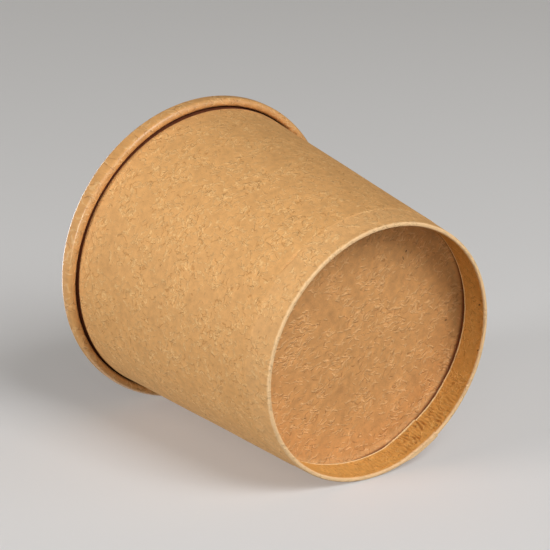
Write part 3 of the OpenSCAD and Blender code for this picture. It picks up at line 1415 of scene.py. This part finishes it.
@dataclass
class Studio:
    """Camera, lamps, floors and world of the photograph's view."""

    blank: Blank = field(default_factory=Blank)
    lens: float = 155.1
    tilt: float = 42.264
    heading: float = 209.8
    base_at: tuple[float, float, float] = (27.47, 20.50, 612.23)
    turn: float = -24.87
    pitch: float = 16.8
    rim_rest: float = 2.0
    lamp_distance: float = 1.4
    ambient: float = 0.12
    pale: Colour = (0.62, 0.62, 0.63)
    softboxes: tuple[Softbox, ...] = (
        Softbox("left", (-0.87, 0.03, 0.49), 12.0, 0.45),
        Softbox("upper_right", (0.47, 0.47, 0.75), 13.0, 0.7),
        Softbox("front", (0.0, 0.0, 1.0), 3.4),
        Softbox("right", (0.95, 0.1, 0.3), 3.2),
        Softbox("lower_right", (0.6, -0.5, 0.6), 1.3),
        Softbox("over_mouth", (0.1, -0.2, 1.0), 7.0, 0.7, upright=True),
        Softbox("far_side", (0.5, -0.85, 0.2), 3.0, 0.9, upright=True),
    )

    def view_axes(self) -> Matrix:
        """Gives the camera's right, up and backward directions as columns."""
        lean, way = math.radians(self.tilt), math.radians(self.heading)
        reach = math.sin(lean)
        axis = Vector((reach * math.cos(way), reach * math.sin(way), math.cos(lean)))
        first = Vector((math.sin(way), -math.cos(way), 0))
        second = axis.cross(first)
        turn = math.radians(self.turn)
        east = Vector((math.cos(turn), math.sin(turn), 0))
        north = Vector((-math.sin(turn), math.cos(turn), 0))
        up = Vector((0, 0, 1))

        def into_frame(seen: Vector) -> Vector:
            """Turns a direction seen by the camera into the container's frame."""
            return east * seen.dot(first) + north * seen.dot(second) + up * seen.dot(axis)

        columns = [into_frame(Vector(v)) for v in ((1, 0, 0), (0, -1, 0), (0, 0, -1))]
        return Matrix(columns).transposed()

    def set_camera(self) -> bpy.types.Object:
        """Sets the camera where the photograph was taken from.

        Returns:
            The camera.
        """
        axes = self.view_axes()
        seen = Vector((self.base_at[0], -self.base_at[1], -self.base_at[2]))
        data = bpy.data.cameras.new("camera")
        data.lens, data.sensor_width = self.lens, 36.0
        data.clip_start, data.clip_end = 0.01, 20.0
        camera = bpy.data.objects.new("camera", data)
        bpy.context.collection.objects.link(camera)
        camera.matrix_world = Matrix.Translation(-(axes @ seen) * MM) @ axes.to_4x4()
        bpy.context.scene.camera = camera
        return camera

    def floor_up(self) -> Vector:
        """Gives the upward direction of the table in the photograph."""
        lean = math.radians(self.pitch)
        return (self.view_axes() @ Vector((0, math.cos(lean), math.sin(lean)))).normalized()

    def hang_lamps(self) -> None:
        """Hangs the softboxes round the container, each aimed at its middle."""
        axes, target = self.view_axes(), Vector((0, 0, 0.04))
        for box in self.softboxes:
            way = Vector(box.direction).normalized()
            way = way if box.upright else axes @ way
            data = bpy.data.lights.new(box.name, "AREA")
            data.energy, data.size = box.power, box.size
            lamp = bpy.data.objects.new(box.name, data)
            bpy.context.collection.objects.link(lamp)
            lamp.location = target + way * self.lamp_distance
            lamp.rotation_mode = "QUATERNION"
            lamp.rotation_quaternion = way.to_track_quat("Z", "Y")

    def floor_material(self) -> bpy.types.Material:
        """Makes the pale floor, which only the camera sees and only from above.

        Returns:
            The material.
        """
        material = bpy.data.materials.new("pale_floor")
        material.use_nodes = True
        sheet = ShaderSheet(material.node_tree)
        for node in list(material.node_tree.nodes):
            material.node_tree.nodes.remove(node)
        seen = sheet.node("ShaderNodeLightPath").outputs["Is Camera Ray"]
        behind = sheet.node("ShaderNodeNewGeometry").outputs["Backfacing"]
        shown = sheet.math("MULTIPLY", seen, sheet.math("SUBTRACT", 1.0, behind))
        clear = sheet.node("ShaderNodeBsdfTransparent").outputs[0]
        paint = sheet.node("ShaderNodeBsdfDiffuse", {"Color": (*self.pale, 1)}).outputs[0]
        glow = sheet.node("ShaderNodeEmission", {"Color": (*self.pale, 1), "Strength": 0.25}).outputs[0]
        lit = sheet.node("ShaderNodeAddShader", {0: paint, 1: glow}).outputs[0]
        mixed = sheet.node("ShaderNodeMixShader", {0: shown, 1: clear, 2: lit}).outputs[0]
        sheet.node("ShaderNodeOutputMaterial", {"Surface": mixed})
        return material

    def lay_floors(self) -> None:
        """Lays the table of the photograph's view, and a floor under the base."""
        material = self.floor_material()
        up = self.floor_up()
        side = Vector((up.x, up.y, 0)).normalized()
        rim = -side * self.blank.rim_d / 2 + Vector((0, 0, self.blank.height - self.rim_rest))
        ring = -side * self.blank.base_d / 2
        lowest = min((rim, ring), key=lambda spot: spot.dot(up))
        for name, normal, spot in (
            ("stage_table", up, lowest * MM),
            ("stage_floor", Vector((0, 0, 1)), Vector((0, 0, 0))),
        ):
            bpy.ops.object.select_all(action="DESELECT")
            bpy.ops.mesh.primitive_plane_add(size=5)
            floor = bpy.context.object
            floor.name = floor.data.name = name
            place = Matrix.Translation(spot) @ normal.to_track_quat("Z", "Y").to_matrix().to_4x4()
            floor.data.transform(place)
            floor.data.materials.append(material)

    def light_world(self) -> None:
        """Gives the scene a pale background and an even, plain ambient light."""
        world = bpy.data.worlds.new("studio")
        bpy.context.scene.world = world
        world.use_nodes = True
        sheet = ShaderSheet(world.node_tree)
        for node in list(world.node_tree.nodes):
            world.node_tree.nodes.remove(node)
        path = sheet.node("ShaderNodeLightPath").outputs
        seen = sheet.math("MAXIMUM", path["Is Camera Ray"], path["Is Transmission Ray"])
        given = {"Color": (1.0, 0.86, 0.6, 1), "Strength": self.ambient}
        even = sheet.node("ShaderNodeBackground", given).outputs[0]
        back = sheet.node("ShaderNodeBackground", {"Color": (0.72, 0.72, 0.73, 1), "Strength": 1.0})
        mixed = sheet.node("ShaderNodeMixShader", {0: seen, 1: even, 2: back.outputs[0]}).outputs[0]
        sheet.node("ShaderNodeOutputWorld", {"Surface": mixed})
        bpy.context.scene.view_settings.view_transform = "Standard"

    def build(self) -> None:
        """Builds the whole studio."""
        self.set_camera()
        self.hang_lamps()
        self.lay_floors()
        self.light_world()


def main() -> None:
    """Builds the container and the studio round it."""
    logging.basicConfig(level=logging.INFO, format="%(name)s: %(message)s")
    shop = BoardShop()
    for part in (Sidewall(), BottomDisc()):
        part.build(shop)
    Studio().build()


if __name__ == "__main__":
    main()
